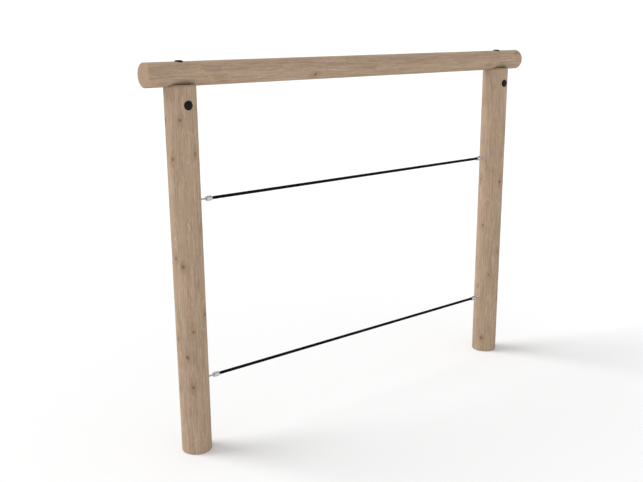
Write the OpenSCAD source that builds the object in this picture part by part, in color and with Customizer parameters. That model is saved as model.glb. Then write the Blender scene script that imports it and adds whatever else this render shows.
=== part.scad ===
// Two-post climbing frame: a round top beam saddled on two round posts, with two taut ropes between them.
// Origin on the ground, midway between the posts. +X along the beam, -Y the capped front, +Z up.

/* [Posts] */
// Diameter of each round post
post_d = 160; // [140:1:200]
// Height of a post, from its foot to its flat top
post_h = 1926; // [1600:1:2400]
// Distance between the axes of the two posts
post_pitch = 2300; // [1600:1:3000]
// Width of the chamfer round the top of a post
post_top_chamfer = 9; // [1:0.5:12]
// Width of the chamfer round the foot of a post
post_foot_chamfer = 3; // [1:0.5:12]
// Depth that the beam sinks into the top of a post
saddle_depth = 11; // [8:1:30]

/* [Top beam] */
// Diameter of the round top beam
beam_d = 120; // [100:1:150]
// Length of beam beyond each post axis
beam_overhang = 190; // [120:1:400]
// Width of the chamfer round each end of the beam
beam_end_chamfer = 4; // [1:0.5:15]

/* [Beam bolts] */
// Diameter of the bolt shank
bolt_d = 12; // [10:1:16]
// Width of the hexagon head across its flats
bolt_head_af = 19; // [16:0.5:20]
// Height of the hexagon head
bolt_head_h = 7.5; // [6:0.5:9]
// Diameter of the washer under the head
washer_d = 24; // [20:0.5:28]
// Thickness of the washer
washer_t = 2.5; // [1.5:0.5:4]
// Depth of the barrel nut's axis below the flat top of a post
barrel_nut_drop = 96; // [70:1:150]
// Diameter of the barrel nut
barrel_nut_d = 24; // [20:1:30]
// Length of the barrel nut
barrel_nut_len = 50; // [36:1:60]
// Width and depth of the screwdriver slot in the barrel nut
barrel_nut_slot = 3; // [2:0.5:4]
// Length of bolt that stands out under the barrel nut
bolt_tip_out = 6; // [2:1:15]

/* [Bolt caps] */
// Diameter of a cap's flange
cap_d = 46; // [42:1:54]
// Height of a cap above the seat that is cut for it
cap_h = 10; // [8:0.5:14]
// Thickness of the flange of a cap base
cap_rim_h = 3.5; // [3:0.5:5]
// Chamfer round the flange
cap_rim_chamfer = 1; // [0.5:0.1:1.5]
// Outer diameter of the cup under the flange
cap_cup_d = 34; // [33:0.5:38]
// Depth of the cup below its seat
cap_cup_depth = 13; // [12:0.5:20]
// Wall thickness of the cup
cap_cup_wall = 2; // [1.5:0.25:2.5]
// Thickness of the cup's floor
cap_cup_floor = 2.5; // [2:0.5:4]
// Depth that the cap's seat is cut below a full circle of wood
cap_seat_sink = 0.4; // [0.2:0.1:3]
// Diameter of the snap lid
lid_d = 40; // [38:0.5:41]
// Diameter of the flat top of the lid
lid_top_d = 30; // [20:0.5:36]
// Height of the sloping shoulder round the flat top
lid_shoulder_h = 5; // [2:0.5:5]
// Depth that the edge of the lid sinks into the flange
lid_sink = 1.5; // [1:0.25:2]
// Wall thickness of the lid
lid_wall = 1.8; // [1.2:0.1:2.5]
// Length of the lid's snap skirt
lid_skirt_h = 4.5; // [3:0.5:5]

/* [Ropes] */
// Diameter of each steel-cored rope
rope_d = 16; // [14:1:18]
// Diameter of the wire core in a rope
rope_core_d = 5; // [4:0.5:6]
// Height of the upper rope above the ground
rope_upper_z = 1350; // [1100:1:1600]
// Height of the lower rope above the ground
rope_lower_z = 390; // [250:1:700]

/* [Rope ends] */
// Outer diameter of the crimped ferrule
ferrule_d = 28; // [24:1:30]
// Length of the ferrule
ferrule_len = 32; // [26:1:60]
// Thickness of the ferrule's closed end
ferrule_end_wall = 6; // [4:0.5:8]
// Chamfer round both ends of the ferrule
ferrule_chamfer = 1.5; // [0.5:0.5:2]
// Depth of the crimp grooves round the ferrule
crimp_depth = 1.2; // [0.5:0.1:2]
// Width of each crimp groove at the surface
crimp_width = 5; // [3:0.5:6]
// Number of crimp grooves
crimp_count = 2; // [1:1:2]
// Diameter of the stud between ferrule and post
stud_d = 10; // [8:1:12]
// Length of bare stud between the post and the ferrule
stud_neck = 38; // [20:1:80]
// Depth that the stud reaches into the post
stud_reach = 53; // [30:1:55]
// Diameter of the stud's head inside the ferrule
stud_head_d = 15; // [14:0.5:16]
// Thickness of the stud's head
stud_head_t = 4; // [3:0.5:6]
// Outer diameter of the threaded insert in the post
insert_d = 18; // [16:1:28]
// Length of the threaded insert
insert_len = 50; // [48:1:60]
// Depth of the insert below the surface of the post
insert_sink = 2; // [1:1:12]

/* [Hidden] */
// Clearances, each measured on the radius
saddle_gap = 0.15;
bolt_gap = 0.5;
fit_gap = 0.05;
press_gap = 0.1;
cap_gap = 0.3;
// Length that a blind hole is drilled past what it holds
drill_over = 3;
// Overshoot of every cut past a face
cut = 1;
// Crimp grooves narrow to this share of their width at the bottom
crimp_floor_share = 0.4;

post_r = post_d / 2;
post_x = post_pitch / 2;
beam_r = beam_d / 2;
beam_z = post_h + beam_r - saddle_depth;
beam_len = post_pitch + 2 * beam_overhang;

cap_r = cap_d / 2;
cup_r = cap_cup_d / 2;
cup_inner_r = cup_r - cap_cup_wall;
lid_r = lid_d / 2;
lid_seat = cap_rim_h - lid_sink;
skirt_r = cup_inner_r - fit_gap;
head_circle_d = bolt_head_af / cos(30);

nut_z = post_h - barrel_nut_drop;
bolt_seat_z = beam_z + cap_seat(beam_r) - cap_cup_depth + cap_cup_floor + washer_t;
bolt_tip_z = nut_z - barrel_nut_d / 2 - bolt_tip_out;
bolt_bore_r = bolt_d / 2 + bolt_gap;

ferrule_bore_r = rope_d / 2 + fit_gap;
ferrule_end = stud_neck + ferrule_len;
rope_start = stud_neck + ferrule_end_wall + stud_head_t + press_gap;
rope_len = 2 * (post_x - post_r - rope_start);
insert_hole_depth = insert_sink + insert_len + drill_over;

WOOD = [0.66, 0.57, 0.48];
BLACK = [0.10, 0.10, 0.11];
STEEL = [0.72, 0.73, 0.74];
ALUMINIUM = [0.80, 0.81, 0.82];

$fn = 96;

SIDES = ["left", "right"];
LEVELS = ["upper", "lower"];
SIDE_PARTS = [
    "post", "beam_bolt", "bolt_washer", "barrel_nut",
    "top_cap_base", "top_cap_lid", "front_cap_base", "front_cap_lid"
];
LEVEL_PARTS = ["rope", "rope_core"];
END_PARTS = ["ferrule", "rope_stud", "stud_insert"];
NODES = concat(
    ["top_beam"],
    [for (part = SIDE_PARTS, side = SIDES) str(part, "_", side)],
    [for (part = LEVEL_PARTS, level = LEVELS) str(part, "_", level)],
    [for (part = END_PARTS, level = LEVELS, side = SIDES) str(part, "_", level, "_", side)]
);
node = "all";

// Distance from a log's axis to the flat seat cut for a cap
function cap_seat(log_r) = sqrt(pow(log_r, 2) - pow(cap_r + cap_gap, 2)) - cap_seat_sink;

// Height of a rope's axis above the ground
function rope_z(level) = level == "upper" ? rope_upper_z : rope_lower_z;

function shown(name) = node == "all" || node == name;

// Places what is modelled for the right end of the frame at either end
module on_side(side) {
    if (side == "left") {
        mirror([1, 0, 0]) children();
    } else {
        children();
    }
}

// Frame of a cap on top of the beam: origin on its seat, +Z up
module at_top_cap(side) {
    on_side(side) translate([post_x, 0, beam_z + cap_seat(beam_r)]) children();
}

// Frame of a cap on the front of a post: origin on its seat, +Z forwards out of the post
module at_front_cap(side) {
    on_side(side) translate([post_x, -cap_seat(post_r), nut_z]) rotate([90, 0, 0]) children();
}

// Frame of a rope's end: origin on the post's inner face, +Z towards the middle of the rope
module at_rope_end(level, side) {
    on_side(side) translate([post_x - post_r, 0, rope_z(level)]) rotate([0, -90, 0]) children();
}

// Solid round log along +Z with a chamfer round each end
module log_blank(r, length, chamfer_start, chamfer_end) {
    rotate_extrude() polygon([
        [0, 0],
        [r - chamfer_start, 0],
        [r, chamfer_start],
        [r, length - chamfer_end],
        [r - chamfer_end, length],
        [0, length]
    ]);
}

// Ring along +Z
module ring(outer_r, inner_r, height) {
    difference() {
        cylinder(r = outer_r, h = height);
        translate([0, 0, -cut]) cylinder(r = inner_r, h = height + 2 * cut);
    }
}

// Cut for a cap: flat seat for the flange, and a pocket for the cup
module cap_cut() {
    cylinder(r = cap_r + cap_gap, h = cap_h + cap_seat_sink);
    translate([0, 0, -cap_cup_depth - press_gap])
        cylinder(r = cup_r + press_gap, h = cap_cup_depth + cut);
}

module post(side) {
    color(WOOD) on_side(side) difference() {
        translate([post_x, 0, 0])
            log_blank(post_r, post_h, post_foot_chamfer, post_top_chamfer);
        // saddle for the beam
        translate([post_x - post_d, 0, beam_z])
            rotate([0, 90, 0]) cylinder(r = beam_r + saddle_gap, h = 2 * post_d);
        // bolt bore down from the saddle
        translate([post_x, 0, bolt_tip_z - drill_over])
            cylinder(r = bolt_bore_r, h = post_h - bolt_tip_z + drill_over + cut);
        // blind cross bore for the barrel nut, and the cap's pocket in front of it
        translate([post_x, barrel_nut_len / 2 + press_gap, nut_z])
            rotate([90, 0, 0]) cylinder(r = barrel_nut_d / 2 + press_gap, h = post_d);
        translate([post_x, -cap_seat(post_r), nut_z])
            rotate([90, 0, 0]) cap_cut();
        // blind holes for the rope inserts
        for (level = LEVELS) {
            translate([post_x - post_r + insert_hole_depth, 0, rope_z(level)])
                rotate([0, -90, 0]) cylinder(r = insert_d / 2 + press_gap, h = insert_hole_depth + cut);
        }
    }
}

module top_beam() {
    color(WOOD) difference() {
        translate([-beam_len / 2, 0, beam_z])
            rotate([0, 90, 0]) log_blank(beam_r, beam_len, beam_end_chamfer, beam_end_chamfer);
        for (x = [-post_x, post_x]) {
            translate([x, 0, beam_z - beam_r - cut])
                cylinder(r = bolt_bore_r, h = beam_d + 2 * cut);
            translate([x, 0, beam_z + cap_seat(beam_r)]) cap_cut();
        }
    }
}

module beam_bolt(side) {
    color(STEEL) on_side(side) {
        translate([post_x, 0, bolt_tip_z]) cylinder(d = bolt_d, h = bolt_seat_z - bolt_tip_z);
        translate([post_x, 0, bolt_seat_z]) cylinder(d = head_circle_d, h = bolt_head_h, $fn = 6);
    }
}

module bolt_washer(side) {
    color(STEEL) on_side(side)
        translate([post_x, 0, bolt_seat_z - washer_t]) ring(washer_d / 2, bolt_bore_r, washer_t);
}

module barrel_nut(side) {
    color(STEEL) on_side(side) difference() {
        translate([post_x, barrel_nut_len / 2, nut_z])
            rotate([90, 0, 0]) cylinder(d = barrel_nut_d, h = barrel_nut_len);
        translate([post_x, 0, nut_z - barrel_nut_d])
            cylinder(r = bolt_d / 2 + fit_gap, h = 2 * barrel_nut_d);
        translate([
            post_x - barrel_nut_d,
            -barrel_nut_len / 2 - cut,
            nut_z - barrel_nut_slot / 2
        ])
            cube([2 * barrel_nut_d, barrel_nut_slot + cut, barrel_nut_slot]);
    }
}

// Cap base: flange with a step for the lid, over a cup with a pierced floor
module cap_base() {
    color(BLACK) rotate_extrude() polygon([
        [bolt_bore_r, -cap_cup_depth],
        [cup_r, -cap_cup_depth],
        [cup_r, 0],
        [cap_r, 0],
        [cap_r, cap_rim_h - cap_rim_chamfer],
        [cap_r - cap_rim_chamfer, cap_rim_h],
        [lid_r + press_gap, cap_rim_h],
        [lid_r + press_gap, lid_seat],
        [cup_inner_r, lid_seat],
        [cup_inner_r, -cap_cup_depth + cap_cup_floor],
        [bolt_bore_r, -cap_cup_depth + cap_cup_floor]
    ]);
}

// Snap lid: hollow button with a sloping shoulder, and a skirt that fits inside the cup
module cap_lid() {
    color(BLACK) rotate_extrude() polygon([
        [skirt_r - lid_wall, lid_seat - lid_skirt_h],
        [skirt_r, lid_seat - lid_skirt_h],
        [skirt_r, lid_seat],
        [lid_r, lid_seat],
        [lid_r, cap_h - lid_shoulder_h],
        [lid_top_d / 2, cap_h],
        [0, cap_h],
        [0, cap_h - lid_wall],
        [skirt_r - lid_wall, cap_h - lid_wall]
    ]);
}

// Steel-cored rope, pulled straight between its two ferrules
module rope(level) {
    color(BLACK) translate([-rope_len / 2, 0, rope_z(level)])
        rotate([0, 90, 0]) ring(rope_d / 2, rope_core_d / 2 + fit_gap, rope_len);
}

module rope_core(level) {
    color(STEEL) translate([-rope_len / 2, 0, rope_z(level)])
        rotate([0, 90, 0]) cylinder(d = rope_core_d, h = rope_len);
}

// Round V of one crimp groove, centred on z = 0
module crimp_cut() {
    outer = ferrule_d / 2 + cut;
    inner = ferrule_d / 2 - crimp_depth;
    slope = (crimp_width - crimp_floor_share * crimp_width) / 2 / crimp_depth;
    half_floor = crimp_floor_share * crimp_width / 2;
    half_mouth = crimp_width / 2 + slope * cut;
    rotate_extrude() polygon([
        [inner, -half_floor],
        [outer, -half_mouth],
        [outer, half_mouth],
        [inner, half_floor]
    ]);
}

// Ferrule crimped on the rope's end, which holds the head of the stud
module ferrule(level, side) {
    color(ALUMINIUM) at_rope_end(level, side) difference() {
        translate([0, 0, stud_neck])
            log_blank(ferrule_d / 2, ferrule_len, ferrule_chamfer, ferrule_chamfer);
        translate([0, 0, stud_neck - cut])
            cylinder(r = stud_d / 2 + fit_gap, h = ferrule_len);
        translate([0, 0, stud_neck + ferrule_end_wall])
            cylinder(r = ferrule_bore_r, h = ferrule_len);
        for (i = [1 : crimp_count]) {
            translate([0, 0, stud_neck + i * ferrule_len / (crimp_count + 1)]) crimp_cut();
        }
    }
}

// Headed stud from the ferrule into the threaded insert
module rope_stud(level, side) {
    color(STEEL) at_rope_end(level, side) {
        translate([0, 0, -stud_reach])
            cylinder(d = stud_d, h = stud_reach + stud_neck + ferrule_end_wall + fit_gap);
        translate([0, 0, stud_neck + ferrule_end_wall + fit_gap])
            cylinder(d = stud_head_d, h = stud_head_t);
    }
}

// Threaded sleeve sunk in the post
module stud_insert(level, side) {
    color(STEEL) at_rope_end(level, side)
        translate([0, 0, -insert_sink - insert_len])
            ring(insert_d / 2, stud_d / 2 + fit_gap, insert_len);
}

if (shown("top_beam")) top_beam();
for (side = SIDES) {
    if (shown(str("post_", side))) post(side);
    if (shown(str("beam_bolt_", side))) beam_bolt(side);
    if (shown(str("bolt_washer_", side))) bolt_washer(side);
    if (shown(str("barrel_nut_", side))) barrel_nut(side);
    if (shown(str("top_cap_base_", side))) at_top_cap(side) cap_base();
    if (shown(str("top_cap_lid_", side))) at_top_cap(side) cap_lid();
    if (shown(str("front_cap_base_", side))) at_front_cap(side) cap_base();
    if (shown(str("front_cap_lid_", side))) at_front_cap(side) cap_lid();
}
for (level = LEVELS) {
    if (shown(str("rope_", level))) rope(level);
    if (shown(str("rope_core_", level))) rope_core(level);
    for (side = SIDES) {
        if (shown(str("ferrule_", level, "_", side))) ferrule(level, side);
        if (shown(str("rope_stud_", level, "_", side))) rope_stud(level, side);
        if (shown(str("stud_insert_", level, "_", side))) stud_insert(level, side);
    }
}
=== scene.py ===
"""Looks of a two-post climbing frame: round timber posts and top beam, twisted ropes, crimped ferrules, bolt caps.

Everything is in metres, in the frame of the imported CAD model. Sizes and places come from the CAD nodes' boxes.
"""

import math

import bmesh
import bpy
from mathutils import Matrix, Vector, noise


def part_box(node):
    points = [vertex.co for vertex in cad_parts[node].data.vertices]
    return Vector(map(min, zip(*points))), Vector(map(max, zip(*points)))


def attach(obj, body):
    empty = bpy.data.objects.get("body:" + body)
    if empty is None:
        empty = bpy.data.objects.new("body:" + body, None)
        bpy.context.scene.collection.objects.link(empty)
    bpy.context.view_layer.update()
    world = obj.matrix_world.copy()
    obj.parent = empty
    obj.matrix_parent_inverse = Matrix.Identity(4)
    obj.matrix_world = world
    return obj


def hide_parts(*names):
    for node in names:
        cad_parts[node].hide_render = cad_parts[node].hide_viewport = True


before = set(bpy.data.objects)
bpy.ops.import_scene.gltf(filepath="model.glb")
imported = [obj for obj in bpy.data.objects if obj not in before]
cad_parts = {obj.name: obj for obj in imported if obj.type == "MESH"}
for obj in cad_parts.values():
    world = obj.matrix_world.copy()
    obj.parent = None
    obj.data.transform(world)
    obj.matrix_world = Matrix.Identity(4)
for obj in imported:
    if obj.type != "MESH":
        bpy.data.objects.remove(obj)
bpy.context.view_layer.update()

MM = 0.001
CREASE_ANGLE = math.radians(32)  # edges sharper than this stay sharp in the shading
SIDES = ("left", "right")
LEVELS = ("upper", "lower")

# Camera: where it stands, how it is turned, and its lens on a 36 mm wide sensor
CAMERA_PLACE = (-3.134, -3.627, 2.184)
CAMERA_HEADING = math.radians(38.106)  # from +Y towards +X
CAMERA_PITCH = math.radians(-14.327)
CAMERA_ROLL = math.radians(-0.451)
CAMERA_LENS = 46.727
SENSOR_WIDTH = 36

# Light
SKY_FROM_FRONT = 1.62  # brightness of the sky at the horizon, on the camera's side and behind the frame
SKY_FROM_BACK = 1.04
SKY_OVERHEAD = 0.62  # brightness of the sky from SKY_FADE_TOP up
SKY_FADE_FROM = math.radians(2)
SKY_FADE_TOP = math.radians(34)
KEY_STRENGTH = 1.88
KEY_HEADING = math.radians(-46)  # where it comes from, measured as the camera's heading
KEY_HEIGHT = math.radians(48)
KEY_SOFTNESS = math.radians(34)
FLOOR_NEAR = 0.82  # painted light: how pale the floor is painted under the frame, and away from it
FLOOR_FAR = 0.90
FLOOR_FADE = (1.2, 5.0)  # metres from the middle
FLOOR_GLOW = 0.06
FLOOR_HALF = 60

# Timber
ROW_STEP = 12 * MM
AROUND = 144
BORE_AROUND = 48
LOOK_SEEDS = {"left": 3.0, "right": 10.7, "beam": 21.3}
SHAPE_SEEDS = {"left": 1.3, "right": 5.4, "beam": 9.2}
EDGE_ROUND = 1.8 * MM
EDGE_STEPS = 4
KNOTS = {"left": 11.0, "right": 9.0, "beam": 7.0}  # how closely they are scattered, per metre
KNOT_RADIUS = 11 * MM
RINGS_PER_METRE = 260
# how squarely a surface faces along the log where the sawn look begins, and where it is full
END_FACING = (0.80, 0.97)
# on the posts the sawn look begins on more slanted faces, so that it reaches over the saddle and the top chamfer
# and carries the painted shade there
SADDLE_FACING = (0.73, 0.85)
SADDLE_PAINTED_SHADE = 0.95  # painted shade: how far the posts' sawn surfaces (saddle, top ledge and chamfer, and the hidden feet) are darkened in place of the shade under the beam
SWELL_DEPTH = 0.7 * MM
RIPPLE_DEPTH = 0.25 * MM

POST_TOP_CHAMFER = 9 * MM
POST_FOOT_CHAMFER = 3 * MM
BEAM_END_CHAMFER = 4 * MM
BORE_R = 6.5 * MM
SADDLE_GAP = 0.15 * MM
CAP_SEAT_GAP = 0.3 * MM
PRESS_GAP = 0.1 * MM
FIT_GAP = 0.05 * MM
DRILL_OVER = 3 * MM
POCKET_OVER = 20 * MM

# Bolt caps
CUP_R = 17 * MM
CUP_DEPTH = 13 * MM
CUP_WALL = 2 * MM
CUP_FLOOR = 2.5 * MM
RIM_H = 3.5 * MM
RIM_CHAMFER = 1 * MM
LID_R = 20 * MM
LID_SEAT = 2 * MM
LID_TOP_R = 15 * MM
LID_SHOULDER_H = 5 * MM
LID_WALL = 1.8 * MM
SKIRT_H = 4.5 * MM
CUP_EDGE_ROUND = 0.5 * MM
LID_EDGE_ROUND = 1.6 * MM

# Rope ends
END_WALL = 6 * MM
FERRULE_CHAMFER = 1.5 * MM
FERRULE_EDGE_ROUND = 0.8 * MM
CRIMPS = 2
CRIMP_DEPTH = 1.2 * MM
CRIMP_WIDTH = 5 * MM
STUD_R = 5 * MM
STUD_TIP_CHAMFER = 0.8 * MM
STUD_HEAD_H = 4 * MM
STUD_HEAD_EDGE_ROUND = 0.6 * MM
STUD_NECK = 38 * MM
THREAD_PITCH = 1.5 * MM
THREAD_DEPTH = 0.8 * MM
THREAD_FROM_TIP = 1 * MM
THREAD_OUT = 14 * MM  # how far it comes out of the post
INSERT_CHAMFER = 0.6 * MM
INSERT_EDGE_ROUND = 0.2 * MM

# Rope
STRANDS = 6
ROPE_FULLNESS = 0.06  # how much fuller its crests stand outside the ferrules
LAY_LENGTH = 98 * MM
STRAND_SIDES = 14
STRAND_STEP = 3.4 * MM
YARNS = 9
YARN_TURNS_PER_METRE = 200
SQUEEZE_RUN = 20 * MM  # length over which it swells to its full thickness outside a ferrule
STRAND_CREASE_ANGLE = math.radians(60)


# ---------------------------------------------------------------- mesh helpers


def new_object(name, mesh):
    obj = bpy.data.objects.new(name, mesh)
    bpy.context.scene.collection.objects.link(obj)
    return obj


def mesh_from(name, points, faces):
    """A mesh object with smooth faces and sharp creases."""
    mesh = bpy.data.meshes.new(name)
    mesh.from_pydata(points, [], faces)
    mesh.validate()
    tidy = bmesh.new()
    tidy.from_mesh(mesh)
    bmesh.ops.recalc_face_normals(tidy, faces=tidy.faces)
    tidy.to_mesh(mesh)
    tidy.free()
    shade(mesh)
    return new_object(name, mesh)


def shade(mesh, crease_angle=CREASE_ANGLE):
    mesh.shade_smooth()
    mesh.set_sharp_from_angle(angle=crease_angle)


def rounded(profile, radius, steps=EDGE_STEPS):
    """The (r, z) outline with each corner but the first and last replaced by a curve of up to that radius."""
    nearly_straight = math.radians(175)
    share = 0.48  # the most of a side that a curve takes up
    out = [profile[0]]
    for before, corner, after in zip(profile, profile[1:], profile[2:]):
        middle = Vector(corner)
        back, on = Vector(before) - middle, Vector(after) - middle
        angle = back.angle(on)
        if angle > nearly_straight:
            out.append(corner)
            continue
        reach = min(radius / math.tan(angle / 2), back.length * share, on.length * share)
        start, end = middle + back.normalized() * reach, middle + on.normalized() * reach
        for i in range(steps + 1):
            t = i / steps
            point = (1 - t) ** 2 * start + 2 * t * (1 - t) * middle + t**2 * end
            out.append(tuple(point))
    out.append(profile[-1])
    return out


def refined(profile, step):
    """The outline with its long stretches split into equal steps."""
    out = [profile[0]]
    for a, b in zip(profile, profile[1:]):
        count = max(1, round(math.dist(a, b) / step))
        for i in range(1, count + 1):
            t = i / count
            out.append((a[0] + (b[0] - a[0]) * t, a[1] + (b[1] - a[1]) * t))
    return out


def turned(name, profile, place, around=72, closed=False, shape=None):
    """Surface of revolution of (r, z) points, put into place by a matrix.

    closed joins the last point to the first. shape may change each point's radius.
    """
    points, rings = [], []
    for r, z in profile:
        if r < 1e-7:
            rings.append([len(points)] * around)
            points.append((0, 0, z))
            continue
        ring = []
        for i in range(around):
            turn = 2 * math.pi * i / around
            radius = shape(r, turn, z) if shape else r
            ring.append(len(points))
            points.append((radius * math.cos(turn), radius * math.sin(turn), z))
        rings.append(ring)
    if closed:
        rings.append(rings[0])
    faces = []
    for low, high in zip(rings, rings[1:]):
        for i in range(around):
            j = (i + 1) % around
            face = []
            for corner in (low[i], low[j], high[j], high[i]):
                if corner not in face:
                    face.append(corner)
            if len(face) > 2:
                faces.append(face)
    return mesh_from(name, [tuple(place @ Vector(p)) for p in points], faces)


def cut_away(obj, cutters):
    """Takes closed cutters out of obj, and removes them."""
    for cutter in cutters:
        cut = obj.modifiers.new("cut", "BOOLEAN")
        cut.operation = "DIFFERENCE"
        cut.solver = "MANIFOLD"
        cut.object = cutter
    graph = bpy.context.evaluated_depsgraph_get()
    mesh = bpy.data.meshes.new_from_object(obj.evaluated_get(graph))
    obj.modifiers.clear()
    old = obj.data
    obj.data = mesh
    bpy.data.meshes.remove(old)
    for cutter in cutters:
        bpy.data.objects.remove(cutter)
    shade(obj.data)


def joined(first, second):
    """Both meshes as one object."""
    both = bmesh.new()
    both.from_mesh(first.data)
    both.from_mesh(second.data)
    both.to_mesh(first.data)
    both.free()
    bpy.data.objects.remove(second)
    shade(first.data)
    return first


def loop(profile, radius, steps=3):
    """A closed (r, z) outline with its corners rounded, which starts in the middle of its last side."""
    start = tuple((a + b) / 2 for a, b in zip(profile[0], profile[-1]))
    return rounded([start, *profile, start], radius, steps)[:-1]


def along(axis, origin):
    """Matrix that turns local +Z to the axis and moves the origin."""
    return Matrix.Translation(origin) @ Vector(axis).to_track_quat("Z", "Y").to_matrix().to_4x4()


# ---------------------------------------------------------------- CAD nodes


def centre(node):
    low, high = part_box(node)
    return (low + high) / 2


def size(node):
    low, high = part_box(node)
    return high - low


def stand_for(obj, node, body, material):
    """Lets obj take the CAD node's place on its body."""
    obj.data.materials.clear()
    obj.data.materials.append(material)
    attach(obj, body)
    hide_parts(node)


# ---------------------------------------------------------------- shader node helpers


class Nodes:
    """Short hand for building a material's node tree."""

    def __init__(self, name):
        self.material = bpy.data.materials.new(name)
        self.material.use_nodes = True
        self.tree = self.material.node_tree
        self.shader = self.tree.nodes["Principled BSDF"]

    def add(self, kind, **settings):
        node = self.tree.nodes.new(kind)
        for key, value in settings.items():
            setattr(node, key, value)
        return node

    def put(self, socket, value):
        """Links a socket, or sets its value."""
        if isinstance(value, bpy.types.NodeSocket):
            self.tree.links.new(value, socket)
        else:
            socket.default_value = value

    def math(self, operation, a, b=0.0, c=0.0):
        node = self.add("ShaderNodeMath", operation=operation)
        for socket, value in zip(node.inputs, (a, b, c)):
            self.put(socket, value)
        return node.outputs[0]

    def vector(self, operation, a, b=(0, 0, 0)):
        node = self.add("ShaderNodeVectorMath", operation=operation)
        self.put(node.inputs[0], a)
        self.put(node.inputs["Scale" if operation == "SCALE" else 1], b)
        return node.outputs["Value" if operation in ("LENGTH", "DOT_PRODUCT", "DISTANCE") else "Vector"]

    def split(self, vector):
        node = self.add("ShaderNodeSeparateXYZ")
        self.put(node.inputs[0], vector)
        return list(node.outputs)

    def join(self, x, y, z):
        node = self.add("ShaderNodeCombineXYZ")
        for socket, value in zip(node.inputs, (x, y, z)):
            self.put(socket, value)
        return node.outputs[0]

    def noise(self, vector, scale=1.0, detail=2.0, rough=0.5, colour=False):
        node = self.add("ShaderNodeTexNoise")
        self.put(node.inputs["Vector"], vector)
        self.put(node.inputs["Scale"], scale)
        self.put(node.inputs["Detail"], detail)
        self.put(node.inputs["Roughness"], rough)
        return node.outputs["Color" if colour else "Fac"]

    def spread(self, value, low, high, to_low=0.0, to_high=1.0):
        """Maps low..high to to_low..to_high, with smooth ends."""
        node = self.add("ShaderNodeMapRange", interpolation_type="SMOOTHSTEP")
        for socket, v in zip(node.inputs, (value, low, high, to_low, to_high)):
            self.put(socket, v)
        return node.outputs[0]

    def mix(self, amount, a, b):
        node = self.add("ShaderNodeMix", data_type="RGBA")
        self.put(node.inputs["Factor"], amount)
        self.put(node.inputs[6], a)
        self.put(node.inputs[7], b)
        return node.outputs[2]

    def bump(self, height, distance, strength):
        node = self.add("ShaderNodeBump")
        self.put(node.inputs["Height"], height)
        node.inputs["Distance"].default_value = distance
        node.inputs["Strength"].default_value = strength
        return node.outputs[0]

    def set(self, **values):
        for key, value in values.items():
            self.put(self.shader.inputs[key.replace("_", " ")], value)


# ---------------------------------------------------------------- materials

TAN = (0.372, 0.272, 0.186)
PINK = (0.388, 0.275, 0.198)
OLIVE = (0.362, 0.269, 0.181)
KNOT = (0.135, 0.070, 0.040)
KNOT_HALO = (0.262, 0.168, 0.106)
CRACK = (0.085, 0.055, 0.034)
SAWN = (0.372, 0.270, 0.182)
SAWN_RING = (0.290, 0.200, 0.130)
CAP_BLACK = (0.0055, 0.0055, 0.0058)
CAP_DUST = (0.0160, 0.0150, 0.0140)
# painted shade: the valleys between the yarns are coloured darker than their crests
YARN_VALLEY_SHADE = (0.0020, 0.0020, 0.0022)
YARN_CREST = (0.0055, 0.0055, 0.0058)
YARN_WORN = (0.0120, 0.0115, 0.0110)
YARN_FUZZ = (0.0200, 0.0195, 0.0190)


def knot_field(n, a, b, z, radius, seed, knots):
    """Knots scattered over the log's skin.

    Gives the way from the nearest knot, its length, and its length where the knot is drawn out along the log.
    """
    ripple = n.vector("SUBTRACT", n.noise(n.join(a, b, z), 24, 2.0, colour=True), (0.5, 0.5, 0.5))
    skin = n.vector("SCALE", n.vector("NORMALIZE", n.join(a, b, 0.0)), radius)
    skin = n.vector("ADD", skin, n.join(0.0, 0.0, z))
    skin = n.vector("ADD", skin, n.vector("SCALE", ripple, 0.010))
    seeded = n.vector("ADD", skin, (0.37 * seed, 0.19 * seed, 0.53 * seed))
    cells = n.add("ShaderNodeTexVoronoi", feature="F1")
    n.put(cells.inputs["Vector"], seeded)
    cells.inputs["Scale"].default_value = knots
    away = n.vector("SUBTRACT", seeded, cells.outputs["Position"])
    far = n.vector("LENGTH", away)
    drawn = n.vector("LENGTH", n.vector("MULTIPLY", away, (1, 1, 0.42)))
    return away, far, drawn


def part_fibres(n, section, away, drawn):
    """The log's section, bent so that the fibres part round the knots."""
    spread_out = n.math("ADD", n.math("MULTIPLY", drawn, drawn), KNOT_RADIUS**2 / 2)
    parting = n.math("DIVIDE", -KNOT_RADIUS**2, spread_out)
    parting = n.math("MULTIPLY", parting, n.spread(drawn, 0.008, 0.030, 1.0, 0.0))
    return n.vector("ADD", section, n.vector("SCALE", n.vector("MULTIPLY", away, (1, 1, 0)), parting))


def growth_rings(n, grain, section, drawn, seed):
    """Distance from the pith, broad growth rings, and thin pale lines along them.

    The skin cuts the rings in long loops where the trunk swells and bends.
    """
    bend = n.vector("SUBTRACT", n.noise(grain(3.5, 1.3), detail=2.0, rough=0.4, colour=True), (0.5, 0.5, 0.5))
    depth = n.vector("LENGTH", n.vector("ADD", section, n.vector("MULTIPLY", bend, (0.045, 0.045, 0.0))))
    swollen = n.math("MULTIPLY_ADD", n.spread(drawn, 0.0, 0.034, 1.0, 0.0), 0.006, depth)
    wobble = n.math("MULTIPLY", n.noise(grain(60, 8), detail=2.0), 0.003)
    ring_at = n.math("MULTIPLY", n.math("ADD", swollen, wobble), RINGS_PER_METRE)
    ring_noise = n.add("ShaderNodeTexNoise", noise_dimensions="1D")
    n.put(ring_noise.inputs["W"], n.math("ADD", ring_at, seed))
    ring_noise.inputs["Scale"].default_value = 1.0
    ring_noise.inputs["Detail"].default_value = 1.5
    level = ring_noise.outputs["Fac"]
    rings = n.spread(level, 0.40, 0.62)
    lines = n.spread(n.math("ABSOLUTE", n.math("SUBTRACT", level, 0.52)), 0.0, 0.028, 1.0, 0.0)
    return depth, rings, lines


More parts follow.
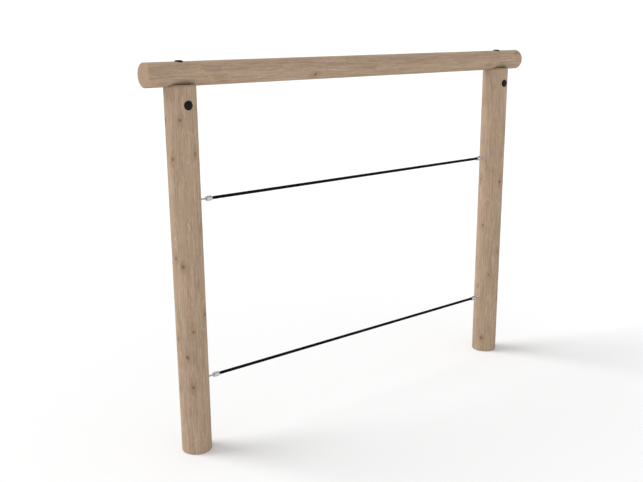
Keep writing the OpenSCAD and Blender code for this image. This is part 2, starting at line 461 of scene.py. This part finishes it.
def sawn_wood(n, place, a, b, radius, depth, rings, seed, painted_shade):
    """Colour of a sawn end, which shows whole rings and fine rays, and the saw's marks on it."""
    ray_turn = n.math("MULTIPLY", n.math("ARCTAN2", a, b), 34)
    rays = n.noise(n.join(ray_turn, n.math("MULTIPLY", depth, 26), seed), detail=3.0, rough=0.6)
    marks = n.noise(n.join(n.math("MULTIPLY", a, 30), n.math("MULTIPLY", b, 520), 3.0 * seed), detail=1.0)
    colour = n.mix(n.math("MULTIPLY", rings, 0.62), (*SAWN, 1), (*SAWN_RING, 1))
    colour = n.mix(n.spread(rays, 0.35, 0.70, 0.0, 0.30), colour, (*SAWN_RING, 1))
    colour = n.mix(n.spread(depth, 0.90 * radius, radius, 0.0, 0.45), colour, (*KNOT_HALO, 1))
    # painted shade: the saw's marks are darkened towards the crack colour by the share painted_shade, in place of
    # the shade under the beam
    colour = n.mix(n.math("MULTIPLY", n.spread(marks, 0.2, 0.5), painted_shade), colour, (*CRACK, 1))
    grit = n.spread(n.noise(place, 240, 3.0), 0.3, 0.7, 0.84, 1.14)
    tone = n.math("MULTIPLY", n.spread(marks, 0.3, 0.7, 0.94, 1.05), grit)
    return n.vector("SCALE", colour, tone), marks


def wood(name, origin, axis, radius, seed, knots, sawn_facing, painted_shade):
    """Round timber: a solid texture of rings, streaks, fibres, knots and fine cracks about the log's own axis.

    knots is how closely they are scattered, per metre. sawn_facing is how squarely a surface faces along the log
    where the sawn look begins, and where it is full. painted_shade tells how far a sawn surface is darkened with
    painted shade.
    """
    n = Nodes(name)
    place = n.add("ShaderNodeTexCoord").outputs["Object"]
    split = n.split(n.vector("SUBTRACT", place, tuple(origin)))
    lengthwise = "XYZ".index(axis)
    a, b = [split[i] for i in range(3) if i != lengthwise]
    z = split[lengthwise]
    section = n.join(a, b, 0.0)
    away, far, drawn = knot_field(n, a, b, z, radius, seed, knots)
    parted = part_fibres(n, section, away, drawn)

    def grain(across, down, shift=0.0):
        """Log coordinates stretched along the grain and bent round the knots."""
        wide = n.vector("SCALE", parted, across)
        return n.vector("ADD", wide, n.join(seed + shift, 2.3 * seed, n.math("MULTIPLY_ADD", z, down, 5.1 * seed)))

    depth, rings, lines = growth_rings(n, grain, section, drawn, seed)
    knot = n.spread(far, 0.0085, 0.0135, 1.0, 0.0)
    knot_heart = n.spread(far, 0.003, 0.008, 1.0, 0.0)
    knot_rings = n.spread(n.math("SINE", n.math("MULTIPLY", far, 3200)), -1.0, 1.0, 0.38, 0.66)
    halo = n.spread(drawn, 0.007, 0.026, 1.0, 0.0)
    pinks = n.spread(n.noise(grain(38, 2.2, 4.9), detail=3.0, rough=0.6), 0.38, 0.62)
    olives = n.spread(n.noise(grain(44, 2.6, 8.3), detail=3.0, rough=0.55), 0.44, 0.64)
    streaks = n.noise(grain(135, 4.5, 2.1), detail=3.0, rough=0.72)
    fibres = n.noise(grain(420, 22, 6.1), detail=3.0, rough=0.6)
    mottle = n.noise(grain(190, 60, 3.3), detail=2.0, rough=0.7)
    patches = n.noise(grain(14, 2.6, 1.7), detail=2.0, rough=0.5)
    flecks = n.spread(n.noise(grain(260, 70, 6.6), detail=1.0), 0.70, 0.78)
    crack_level = n.math("SUBTRACT", n.noise(grain(46, 1.6, 9.4), detail=1.0), 0.5)
    crack_line = n.spread(n.math("ABSOLUTE", crack_level), 0.0, 0.0035, 1.0, 0.0)
    crack_here = n.spread(n.noise(grain(12, 3.1, 12.2), detail=1.0), 0.60, 0.68)
    cracks = n.math("MULTIPLY", crack_line, crack_here)

    colour = n.mix(pinks, (*TAN, 1), (*PINK, 1))
    colour = n.mix(n.math("MULTIPLY", olives, 0.55), colour, (*OLIVE, 1))
    tone = n.math("MULTIPLY", n.spread(streaks, 0.25, 0.75, 0.80, 1.20), n.spread(fibres, 0.25, 0.75, 0.84, 1.16))
    tone = n.math("MULTIPLY", tone, n.spread(mottle, 0.25, 0.75, 0.94, 1.06))
    tone = n.math("MULTIPLY", tone, n.spread(patches, 0.30, 0.70, 0.98, 1.02))
    tone = n.math("MULTIPLY", tone, n.math("MULTIPLY_ADD", rings, -0.06, 1.02))
    tone = n.math("MULTIPLY", tone, n.math("MULTIPLY_ADD", lines, 0.15, 0.985))
    colour = n.vector("SCALE", colour, tone)
    colour = n.mix(n.math("MULTIPLY", flecks, 0.40), colour, (*KNOT_HALO, 1))
    colour = n.mix(n.math("MULTIPLY", halo, 0.50), colour, (*KNOT_HALO, 1))
    colour = n.mix(n.math("MULTIPLY", knot, knot_rings), colour, (*KNOT, 1))
    colour = n.mix(n.math("MULTIPLY", knot_heart, 0.50), colour, (*CRACK, 1))
    colour = n.mix(n.math("MULTIPLY", cracks, 0.80), colour, (*CRACK, 1))

    facing = n.split(n.add("ShaderNodeNewGeometry").outputs["Normal"])[lengthwise]
    sawn = n.spread(n.math("ABSOLUTE", facing), *sawn_facing)
    sawn_colour, saw_marks = sawn_wood(n, place, a, b, radius, depth, rings, seed, painted_shade)
    n.set(Base_Color=n.mix(sawn, colour, sawn_colour))

    n.set(Roughness=n.math("SUBTRACT", n.spread(fibres, 0.3, 0.7, 0.66, 0.82), n.math("MULTIPLY", knot, 0.12)))
    n.shader.inputs["Specular IOR Level"].default_value = 0.14
    relief = n.math("MULTIPLY_ADD", fibres, 0.50, n.math("MULTIPLY", streaks, 0.40))
    relief = n.math("MULTIPLY_ADD", mottle, 0.25, relief)
    relief = n.math("MULTIPLY_ADD", rings, -0.20, relief)
    relief = n.math("MULTIPLY_ADD", knot, 0.30, relief)
    relief = n.math("MULTIPLY_ADD", cracks, -1.60, relief)
    relief = n.math("MULTIPLY_ADD", n.math("MULTIPLY", sawn, saw_marks), 0.5, relief)
    n.set(Normal=n.bump(relief, 0.8 * MM, 0.55))
    return n.material


def plastic():
    """Black moulded plastic with a fine grained skin, dulled by weather."""
    n = Nodes("cap_plastic")
    place = n.add("ShaderNodeTexCoord").outputs["Object"]
    skin = n.noise(place, 2600, 2.0, 0.6)
    dust = n.spread(n.noise(place, 70, 4.0, 0.6), 0.42, 0.70)
    n.set(Base_Color=n.mix(n.math("MULTIPLY", dust, 0.40), (*CAP_BLACK, 1), (*CAP_DUST, 1)))
    n.set(Roughness=n.math("MULTIPLY_ADD", dust, 0.12, n.spread(skin, 0.3, 0.7, 0.36, 0.48)))
    n.shader.inputs["Specular IOR Level"].default_value = 0.11
    n.set(Normal=n.bump(skin, 0.05 * MM, 0.5))
    return n.material


def rope_yarn():
    """Black polyester yarns laid round a strand. The mesh's UVs run once round a strand, and in metres along it."""
    n = Nodes("rope_yarn")
    around, length, _ = n.split(n.add("ShaderNodeUVMap", uv_map="strand").outputs[0])
    turns = n.math("MULTIPLY_ADD", around, YARNS, n.math("MULTIPLY", length, YARN_TURNS_PER_METRE))
    yarn = n.math("MULTIPLY_ADD", n.math("SINE", n.math("MULTIPLY", turns, 2 * math.pi)), 0.5, 0.5)
    place = n.add("ShaderNodeTexCoord").outputs["Object"]
    fuzz = n.noise(place, 1500, 3.0, 0.65)
    worn = n.spread(n.noise(n.vector("MULTIPLY", place, (0.25, 1, 1)), 90, 3.0, 0.6), 0.45, 0.75)
    # painted shade in the valleys between the yarns
    colour = n.mix(yarn, (*YARN_VALLEY_SHADE, 1), (*YARN_CREST, 1))
    colour = n.mix(n.math("MULTIPLY", worn, 0.30), colour, (*YARN_WORN, 1))
    colour = n.mix(n.spread(fuzz, 0.60, 0.80, 0.0, 0.30), colour, (*YARN_FUZZ, 1))
    n.set(Base_Color=colour, Roughness=n.spread(fuzz, 0.3, 0.7, 0.62, 0.80))
    n.shader.inputs["Specular IOR Level"].default_value = 0.08
    n.set(Normal=n.bump(n.math("MULTIPLY_ADD", fuzz, 0.5, yarn), 0.35 * MM, 0.8))
    return n.material


def metal(name, colour, rough, scratch_axis, stain):
    """Metal with fine scratches along one axis, and stains that are darker by the share stain, and duller."""
    n = Nodes(name)
    place = n.add("ShaderNodeTexCoord").outputs["Object"]
    stretch = [1500.0, 1500.0, 1500.0]
    stretch["XYZ".index(scratch_axis)] = 90.0
    scratches = n.noise(n.vector("MULTIPLY", place, tuple(stretch)), 1.0, 3.0, 0.7)
    blotch = n.spread(n.noise(place, 120, 4.0, 0.6), 0.40, 0.68)
    dark = tuple(c * (1 - stain) for c in colour)
    n.set(Base_Color=n.mix(blotch, (*colour, 1), (*dark, 1)))
    n.shader.inputs["Metallic"].default_value = 1.0
    brushed = n.spread(scratches, 0.3, 0.7, rough - 0.06, rough + 0.08)
    n.set(Roughness=n.math("MULTIPLY_ADD", blotch, 0.10, brushed))
    n.set(Normal=n.bump(scratches, 0.04 * MM, 0.5))
    return n.material


def floor_material():
    """Pale paint, with painted light: a little lighter away from the frame."""
    n = Nodes("floor_paint_and_painted_light")
    place = n.add("ShaderNodeTexCoord").outputs["Object"]
    light = n.spread(n.vector("LENGTH", place), *FLOOR_FADE, FLOOR_NEAR, FLOOR_FAR)
    light = n.math("MULTIPLY", light, n.spread(n.noise(place, 0.7, 2.0), 0.3, 0.7, 0.998, 1.002))
    n.set(Base_Color=n.join(light, light, light))
    n.set(Roughness=n.spread(n.noise(place, 3.0, 2.0), 0.3, 0.7, 0.88, 0.94))
    n.shader.inputs["Specular IOR Level"].default_value = 0.0
    n.shader.inputs["Emission Color"].default_value = (1, 1, 1, 1)
    n.shader.inputs["Emission Strength"].default_value = FLOOR_GLOW
    return n.material


# ---------------------------------------------------------------- camera, light and floor


def add_camera():
    data = bpy.data.cameras.new("camera")
    data.lens = CAMERA_LENS
    data.sensor_width = SENSOR_WIDTH
    data.clip_end = 500
    camera = new_object("camera", data)
    camera.matrix_world = (
        Matrix.Translation(CAMERA_PLACE)
        @ Matrix.Rotation(-CAMERA_HEADING, 4, "Z")
        @ Matrix.Rotation(math.pi / 2 + CAMERA_PITCH, 4, "X")
        @ Matrix.Rotation(CAMERA_ROLL, 4, "Z")
    )
    bpy.context.scene.camera = camera


def add_light():
    """A sky that is brightest low down on the camera's side, and one soft sun."""
    world = bpy.data.worlds.new("studio")
    world.use_nodes = True
    tree = world.node_tree
    way = tree.nodes.new("ShaderNodeTexCoord").outputs["Generated"]
    toward_camera = tree.nodes.new("ShaderNodeVectorMath")
    toward_camera.operation = "DOT_PRODUCT"
    toward_camera.inputs[1].default_value = (-math.sin(CAMERA_HEADING), -math.cos(CAMERA_HEADING), 0)
    around = tree.nodes.new("ShaderNodeMapRange")
    height = tree.nodes.new("ShaderNodeSeparateXYZ")
    up = tree.nodes.new("ShaderNodeMapRange")
    tree.links.new(way, toward_camera.inputs[0])
    tree.links.new(way, height.inputs[0])
    tree.links.new(toward_camera.outputs["Value"], around.inputs["Value"])
    tree.links.new(height.outputs["Z"], up.inputs["Value"])
    tree.links.new(around.outputs[0], up.inputs["To Min"])
    tree.links.new(up.outputs[0], tree.nodes["Background"].inputs["Strength"])
    around.inputs["From Min"].default_value = -1
    around.inputs["To Min"].default_value = SKY_FROM_BACK
    around.inputs["To Max"].default_value = SKY_FROM_FRONT
    up.inputs["From Min"].default_value = math.sin(SKY_FADE_FROM)
    up.inputs["From Max"].default_value = math.sin(SKY_FADE_TOP)
    up.inputs["To Max"].default_value = SKY_OVERHEAD
    tree.nodes["Background"].inputs["Color"].default_value = (1, 1, 1, 1)
    bpy.context.scene.world = world
    key = bpy.data.lights.new("key", "SUN")
    key.energy = KEY_STRENGTH
    key.angle = KEY_SOFTNESS
    lamp = new_object("key", key)
    comes_from = Vector((
        math.sin(KEY_HEADING) * math.cos(KEY_HEIGHT),
        math.cos(KEY_HEADING) * math.cos(KEY_HEIGHT),
        math.sin(KEY_HEIGHT),
    ))
    lamp.rotation_euler = comes_from.to_track_quat("Z", "Y").to_euler()
    bpy.context.scene.view_settings.view_transform = "Standard"


def add_floor():
    corners = [(x * FLOOR_HALF, y * FLOOR_HALF, 0) for x, y in ((-1, -1), (1, -1), (1, 1), (-1, 1))]
    floor = mesh_from("floor", corners, [(0, 1, 2, 3)])
    floor.data.materials.append(floor_material())


# ---------------------------------------------------------------- ropes


def rope(level, material):
    """Strands laid round a straight centreline, as one mesh."""
    node = f"rope_{level}"
    low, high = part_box(node)
    middle = centre(node)
    rope_r = (high.z - low.z) / 2
    length = high.x - low.x
    mouth = size(f"ferrule_{level}_left").x - END_WALL
    # six equal strands round one of the same size fill three strand widths
    strand_r = rope_r / 3
    lay_r = rope_r - strand_r
    # the strand's section, cut square to the rope, is a little wider round it
    lean = math.atan(2 * math.pi * lay_r / LAY_LENGTH)
    rings = round(length / STRAND_STEP)
    points, faces, uvs = [], [], []
    for strand in range(STRANDS):
        first = len(points)
        for i in range(rings + 1):
            x = low.x + length * i / rings
            turn = 2 * math.pi * ((x - low.x) / LAY_LENGTH + strand / STRANDS)
            # the ferrules squeeze it
            free = min(1, max(0, (min(x - low.x, high.x - x) - mouth) / SQUEEZE_RUN))
            full = 1 + ROPE_FULLNESS * free * free * (3 - 2 * free)
            out = Vector((0, math.cos(turn), math.sin(turn)))
            round_way = Vector((0, -math.sin(turn), math.cos(turn)))
            line = Vector((x, middle.y, middle.z)) + full * lay_r * out
            for k in range(STRAND_SIDES):
                a = 2 * math.pi * k / STRAND_SIDES
                offset = full * strand_r * (math.cos(a) * out + math.sin(a) / math.cos(lean) * round_way)
                points.append(tuple(line + offset))
        for i in range(rings):
            for k in range(STRAND_SIDES):
                j = (k + 1) % STRAND_SIDES
                here, there = first + i * STRAND_SIDES, first + (i + 1) * STRAND_SIDES
                faces.append((here + k, here + j, there + j, there + k))
                along_here, along_there = length * i / rings, length * (i + 1) / rings
                u, v = k / STRAND_SIDES, (k + 1) / STRAND_SIDES
                uvs.append(((u, along_here), (v, along_here), (v, along_there), (u, along_there)))
        faces.append([first + k for k in range(STRAND_SIDES)])
        faces.append([first + rings * STRAND_SIDES + k for k in reversed(range(STRAND_SIDES))])
        uvs.append([(k / STRAND_SIDES, 0.0) for k in range(STRAND_SIDES)])
        uvs.append([(k / STRAND_SIDES, length) for k in range(STRAND_SIDES)])
    mesh = bpy.data.meshes.new(f"{node}_strands")
    mesh.from_pydata(points, [], faces)
    layer = mesh.uv_layers.new(name="strand")
    layer.data.foreach_set("uv", [number for face in uvs for pair in face for number in pair])
    shade(mesh, STRAND_CREASE_ANGLE)
    obj = new_object(f"{node}_strands", mesh)
    stand_for(obj, node, "frame", material)


# ---------------------------------------------------------------- timber


def log_swell(radius, seed):
    """Radius of a peeled trunk: a little under the round, in slow swells and short ripples."""

    def shape(r, turn, z):
        if r < 0.8 * radius:
            return r
        spot = Vector((math.cos(turn), math.sin(turn), 0))
        slow = noise.noise(spot * 0.9 + Vector((seed, 0, z * 2.6)))
        quick = noise.noise(spot * 5.0 + Vector((0, seed, z * 11)))
        return r - SWELL_DEPTH * (0.5 + 0.5 * slow) - RIPPLE_DEPTH * (0.5 + 0.5 * quick)

    return shape


def log(name, axis, origin, radius, length, low_chamfer, high_chamfer, seed):
    """A peeled trunk with chamfered ends, from its origin along the axis."""
    profile = [
        (0, 0),
        (radius - low_chamfer, 0),
        (radius, low_chamfer),
        (radius, length - high_chamfer),
        (radius - high_chamfer, length),
        (0, length),
    ]
    outline = refined(rounded(profile, EDGE_ROUND), ROW_STEP)
    return turned(name, outline, along(axis, origin), AROUND, shape=log_swell(radius, seed))


def round_cutter(name, axis, origin, radius, length, around=96):
    profile = [(0, 0), (radius, 0), (radius, length), (0, length)]
    return turned(name, profile, along(axis, origin), around)


def cap_cutter(name, axis, seat):
    """Seat for a cap's flange and pocket for its cup."""
    flange_r = size("top_cap_base_left").x / 2 + CAP_SEAT_GAP
    pocket_r = CUP_R + PRESS_GAP
    pocket_floor = -CUP_DEPTH - PRESS_GAP
    profile = [
        (0, pocket_floor),
        (pocket_r, pocket_floor),
        (pocket_r, 0),
        (flange_r, 0),
        (flange_r, POCKET_OVER),
        (0, POCKET_OVER),
    ]
    return turned(name, profile, along(axis, seat), 96)


def post(side, material):
    """A post with its saddle, and its bores for the bolt, the barrel nut, the front cap and the rope inserts."""
    node = f"post_{side}"
    low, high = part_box(node)
    x = centre(node).x
    radius = (high.x - low.x) / 2
    beam_r = size("top_beam").z / 2
    beam_z = centre("top_beam").z
    bolt_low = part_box(f"beam_bolt_{side}")[0].z
    nut_low, nut_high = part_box(f"barrel_nut_{side}")
    nut_r = (nut_high.z - nut_low.z) / 2
    nut_z = (nut_low.z + nut_high.z) / 2
    seat_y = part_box(f"front_cap_base_{side}")[1].y - CUP_DEPTH
    up, across, forward = (0, 0, 1), (1, 0, 0), (0, -1, 0)
    saddle_from = (x - 2 * radius, 0, beam_z)
    nut_from = (x, nut_high.y + PRESS_GAP, nut_z)
    cutters = [
        round_cutter("saddle", across, saddle_from, beam_r + SADDLE_GAP, 4 * radius, AROUND),
        round_cutter("bolt_bore", up, (x, 0, bolt_low - DRILL_OVER), BORE_R, high.z, BORE_AROUND),
        round_cutter("nut_bore", forward, nut_from, nut_r + PRESS_GAP, 2 * radius),
        cap_cutter("cap_pocket", forward, (x, seat_y, nut_z)),
    ]
    inward = 1 if side == "left" else -1
    for level in LEVELS:
        insert_low, insert_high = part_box(f"stud_insert_{level}_{side}")
        insert_r = (insert_high.z - insert_low.z) / 2 + PRESS_GAP
        deep = (insert_low.x if side == "left" else insert_high.x) - inward * DRILL_OVER
        start = (deep, 0, (insert_low.z + insert_high.z) / 2)
        cutters.append(round_cutter(f"insert_{level}", (inward, 0, 0), start, insert_r, radius))
    seed = SHAPE_SEEDS[side]
    obj = log(f"{node}_timber", up, (x, 0, 0), radius, high.z, POST_FOOT_CHAMFER, POST_TOP_CHAMFER, seed)
    cut_away(obj, cutters)
    stand_for(obj, node, "frame", material)


def beam(material):
    """The top beam with its bolt bores and cap pockets."""
    low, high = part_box("top_beam")
    radius = (high.z - low.z) / 2
    up, lengthwise = (0, 0, 1), (1, 0, 0)
    cutters = []
    for side in SIDES:
        x = centre(f"beam_bolt_{side}").x
        seat_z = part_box(f"top_cap_base_{side}")[0].z + CUP_DEPTH
        cutters.append(round_cutter("bore", up, (x, 0, low.z - radius), BORE_R, 4 * radius, BORE_AROUND))
        cutters.append(cap_cutter("cap_pocket", up, (x, 0, seat_z)))
    start = (low.x, 0, centre("top_beam").z)
    chamfer, seed = BEAM_END_CHAMFER, SHAPE_SEEDS["beam"]
    obj = log("top_beam_timber", lengthwise, start, radius, high.x - low.x, chamfer, chamfer, seed)
    cut_away(obj, cutters)
    stand_for(obj, "top_beam", "frame", material)


# ---------------------------------------------------------------- caps and rope ends


def cap(face, side, material):
    """Cap base and snap lid with moulded, softly rounded edges."""
    base, lid = f"{face}_cap_base_{side}", f"{face}_cap_lid_{side}"
    low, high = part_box(base)
    middle = centre(base)
    if face == "top":
        place = along((0, 0, 1), (middle.x, middle.y, low.z + CUP_DEPTH))
    else:
        place = along((0, -1, 0), (middle.x, high.y - CUP_DEPTH, middle.z))
    flange_r = (high.x - low.x) / 2
    inner_r = CUP_R - CUP_WALL
    outline = [
        (BORE_R, -CUP_DEPTH),
        (CUP_R, -CUP_DEPTH),
        (CUP_R, 0),
        (flange_r, 0),
        (flange_r, RIM_H - RIM_CHAMFER),
        (flange_r - RIM_CHAMFER, RIM_H),
        (LID_R + PRESS_GAP, RIM_H),
        (LID_R + PRESS_GAP, LID_SEAT),
        (inner_r, LID_SEAT),
        (inner_r, CUP_FLOOR - CUP_DEPTH),
        (BORE_R, CUP_FLOOR - CUP_DEPTH),
    ]
    obj = turned(f"{base}_moulding", loop(outline, CUP_EDGE_ROUND), place, 96, closed=True)
    stand_for(obj, base, "frame", material)

    lid_low, lid_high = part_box(lid)
    top = lid_high.z - low.z - CUP_DEPTH if face == "top" else high.y - CUP_DEPTH - lid_low.y
    skirt_r = inner_r - FIT_GAP
    outline = [
        (0, top - LID_WALL),
        (skirt_r - LID_WALL, top - LID_WALL),
        (skirt_r - LID_WALL, LID_SEAT - SKIRT_H),
        (skirt_r, LID_SEAT - SKIRT_H),
        (skirt_r, LID_SEAT),
        (LID_R, LID_SEAT),
        (LID_R, top - LID_SHOULDER_H),
        (LID_TOP_R, top),
        (0, top),
    ]
    obj = turned(f"{lid}_moulding", rounded(outline, LID_EDGE_ROUND, 5), place, 96)
    stand_for(obj, lid, f"{face}_lid_{side}", material)


def crimp(middle, radius):
    """Outline of one crimp groove, pressed in smoothly."""
    half = CRIMP_WIDTH / 2
    return [
        (radius - CRIMP_DEPTH * (0.5 + 0.5 * math.cos(math.pi * t)), middle + half * t)
        for t in (i / 6 for i in range(-6, 7))
    ]


def threaded(name, place, r, low, high, start, end):
    """Rod from low to high, with a helical thread from start to end that runs out gently."""

    def shape(radius, turn, z):
        if radius < r - 1e-6:
            return radius
        fade_in = min(1, max(0, (z - start) / THREAD_PITCH))
        fade_out = min(1, max(0, (end - z) / (3 * THREAD_PITCH)))
        phase = (z / THREAD_PITCH - turn / (2 * math.pi)) % 1
        return radius - THREAD_DEPTH * fade_in * fade_out * abs(2 * phase - 1)

    profile = [(0, low), (r - STUD_TIP_CHAMFER, low), (r, low + STUD_TIP_CHAMFER), (r, start)]
    profile += refined([(r, start), (r, end)], THREAD_PITCH / 8)[1:]
    profile += [(r, high), (0, high)]
    return turned(name, profile, place, 32, shape=shape)


def rope_end(level, side, sleeve_metal, stud_metal, insert_metal):
    """Ferrule, stud and insert of one rope end. Local +Z runs from the post's face to the middle of the rope."""
    end = f"{level}_{side}"
    inward = 1 if side == "left" else -1
    low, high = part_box(f"ferrule_{end}")
    middle = centre(f"ferrule_{end}")
    post_face = (low.x if side == "left" else high.x) - inward * STUD_NECK
    place = along((inward, 0, 0), (post_face, middle.y, middle.z))

    ferrule_r, ferrule_len = (high.z - low.z) / 2, high.x - low.x
    rope_r = size(f"rope_{level}").z / 2
    first, last = STUD_NECK, STUD_NECK + ferrule_len
    outline = [
        (STUD_R + FIT_GAP, first),
        (ferrule_r - FERRULE_CHAMFER, first),
        (ferrule_r, first + FERRULE_CHAMFER),
    ]
    for i in range(1, CRIMPS + 1):
        outline += crimp(first + i * ferrule_len / (CRIMPS + 1), ferrule_r)
    outline += [
        (ferrule_r, last - FERRULE_CHAMFER),
        (ferrule_r - FERRULE_CHAMFER, last),
        (rope_r + FIT_GAP, last),
        (rope_r + FIT_GAP, first + END_WALL),
        (STUD_R + FIT_GAP, first + END_WALL),
    ]
    obj = turned(f"ferrule_{end}_sleeve", loop(outline, FERRULE_EDGE_ROUND), place, 72, closed=True)
    stand_for(obj, f"ferrule_{end}", "frame", sleeve_metal)

    stud_low, stud_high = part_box(f"rope_stud_{end}")
    head_r = (stud_high.z - stud_low.z) / 2
    head_top = STUD_NECK + END_WALL + FIT_GAP + STUD_HEAD_H
    head_foot = head_top - STUD_HEAD_H
    tip = head_top - (stud_high.x - stud_low.x)
    thread_start = tip + THREAD_FROM_TIP
    rod = threaded(f"rope_stud_{end}_rod", place, STUD_R, tip, head_foot, thread_start, THREAD_OUT)
    outline = [(0, head_foot), (head_r, head_foot), (head_r, head_top), (0, head_top)]
    outline = rounded(outline, STUD_HEAD_EDGE_ROUND)
    obj = joined(rod, turned(f"rope_stud_{end}_head", outline, place, 48))
    stand_for(obj, f"rope_stud_{end}", "frame", stud_metal)

    insert_low, insert_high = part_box(f"stud_insert_{end}")
    insert_r = (insert_high.z - insert_low.z) / 2
    inner_end, face_end = sorted((x - post_face) * inward for x in (insert_low.x, insert_high.x))
    outline = [
        (STUD_R + FIT_GAP, inner_end),
        (insert_r, inner_end),
        (insert_r, face_end - INSERT_CHAMFER),
        (insert_r - INSERT_CHAMFER, face_end),
        (STUD_R + FIT_GAP + INSERT_CHAMFER, face_end),
        (STUD_R + FIT_GAP, face_end - INSERT_CHAMFER),
    ]
    obj = turned(f"stud_insert_{end}_sleeve", loop(outline, INSERT_EDGE_ROUND), place, 64, closed=True)
    stand_for(obj, f"stud_insert_{end}", "frame", insert_metal)


# ---------------------------------------------------------------- making


add_camera()
yarn = rope_yarn()
for level in LEVELS:
    rope(level, yarn)
add_light()
add_floor()

for side in SIDES:
    middle = centre(f"post_{side}")
    radius = size(f"post_{side}").x / 2
    log_at = ((middle.x, 0, 0), "Z", radius, LOOK_SEEDS[side], KNOTS[side])
    # the posts' sawn tops carry painted shade under the beam
    post(side, wood(f"post_{side}_wood", *log_at, SADDLE_FACING, SADDLE_PAINTED_SHADE))
log_at = ((0, 0, centre("top_beam").z), "X", size("top_beam").z / 2, LOOK_SEEDS["beam"], KNOTS["beam"])
beam(wood("beam_wood", *log_at, END_FACING, 0))

black = plastic()
aluminium = metal("ferrule_aluminium", (0.57, 0.58, 0.59), rough=0.24, scratch_axis="X", stain=0.12)
stainless = metal("stainless_steel", (0.50, 0.50, 0.49), rough=0.32, scratch_axis="X", stain=0.15)
zinc = metal("zinc_steel", (0.42, 0.43, 0.45), rough=0.38, scratch_axis="Z", stain=0.20)
wire = metal("rope_wire", (0.52, 0.53, 0.54), rough=0.40, scratch_axis="X", stain=0.25)
for side in SIDES:
    for face in ("top", "front"):
        cap(face, side, black)
    for level in LEVELS:
        rope_end(level, side, aluminium, stainless, zinc)
for name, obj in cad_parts.items():
    if name.startswith(("rope_core", "beam_bolt", "bolt_washer", "barrel_nut")):
        obj.data.materials.clear()
        obj.data.materials.append(wire if name.startswith("rope_core") else zinc)
